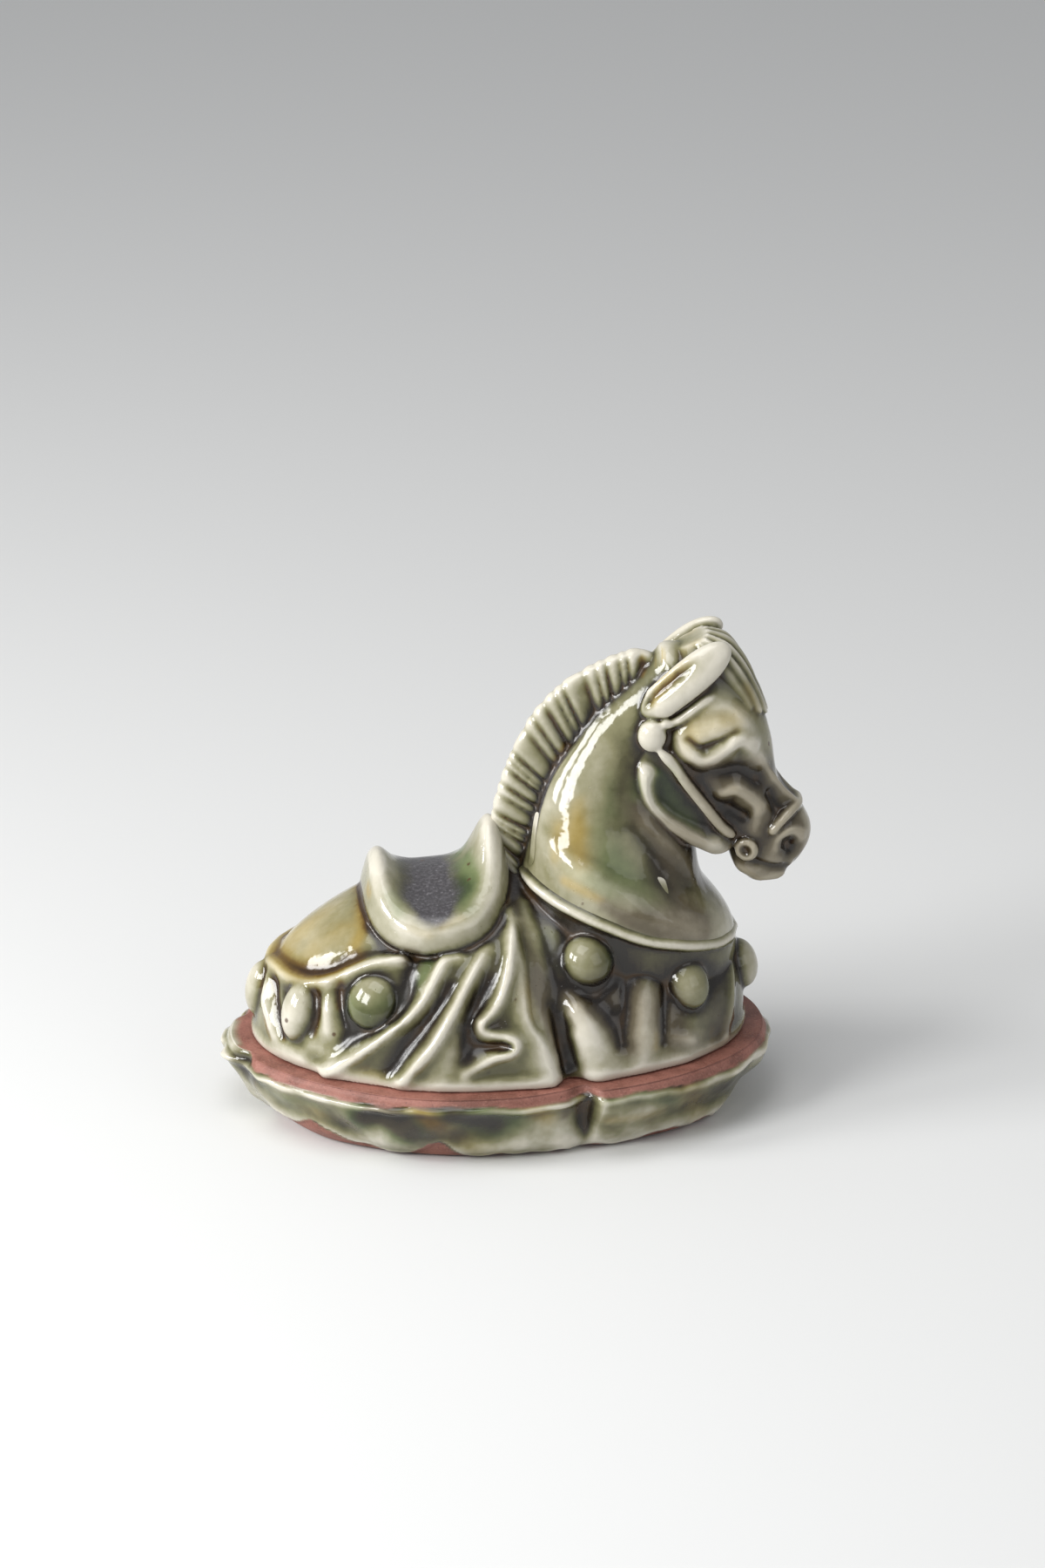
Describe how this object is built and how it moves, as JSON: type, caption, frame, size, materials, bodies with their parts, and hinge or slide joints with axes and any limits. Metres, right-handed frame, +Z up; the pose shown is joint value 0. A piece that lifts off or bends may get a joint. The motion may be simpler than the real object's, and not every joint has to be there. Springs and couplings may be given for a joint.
{
  "type": "horse incense box",
  "caption": "Small lidded ceramic incense box: the hollow lid is a resting saddled horse in green and cream glaze, and the base is a lobed tray of the same plan.",
  "frame": {"origin": "middle of the tray's flat foot", "axes": "+X towards the horse's head, +Y to the horse's left, +Z up"},
  "size_m": [0.0701, 0.0446, 0.0597],
  "materials": {
    "glaze": "glossy transparent green and amber ash glaze that pools dark in the hollows",
    "pale_glaze": "the same glossy glaze, thin and cream where it runs off ridges",
    "bare_clay": "matt red fired clay, glazed green on the tray's outer side in the rendered scene"
  },
  "bodies": {
    "tray": {"box_tray": "bare_clay"},
    "lid": {"bit_ring_left": "pale_glaze", "bit_ring_right": "pale_glaze", "breast_boss_chest_left": "glaze", "breast_boss_chest_right": "glaze", "breast_boss_front": "glaze", "breast_boss_shoulder_left": "glaze", "breast_boss_shoulder_right": "glaze", "breast_strap": "pale_glaze", "breast_tassel_front_left": "pale_glaze", "breast_tassel_front_right": "pale_glaze", "breast_tassel_side_left": "pale_glaze", "breast_tassel_side_right": "pale_glaze", "bridle_rosette_left": "pale_glaze", "bridle_rosette_right": "pale_glaze", "browband_left": "pale_glaze", "browband_right": "pale_glaze", "cheek_strap_left": "pale_glaze", "cheek_strap_right": "pale_glaze", "crupper_pendant_flank_left": "glaze", "crupper_pendant_flank_right": "glaze", "crupper_pendant_rear_left": "glaze", "crupper_pendant_rear_right": "glaze", "crupper_strap": "pale_glaze", "crupper_strip_flank_left": "pale_glaze", "crupper_strip_flank_right": "pale_glaze", "crupper_strip_rear_left": "pale_glaze", "crupper_strip_rear_right": "pale_glaze", "ear_left": "glaze", "ear_right": "glaze", "forelock": "glaze", "head": "glaze", "lid_body": "glaze", "mane": "glaze", "neck": "glaze", "noseband": "pale_glaze", "saddle": "glaze", "saddle_cloth_left": "pale_glaze", "saddle_cloth_right": "pale_glaze", "shoulder_drape_left": "pale_glaze", "shoulder_drape_right": "pale_glaze", "tail": "glaze"}
  },
  "joints": [
    {"name": "lid_lift", "type": "slide", "parent": "tray", "child": "lid", "axis": [0, 0, 1], "range_m": [0, 0.035]}
  ]
}
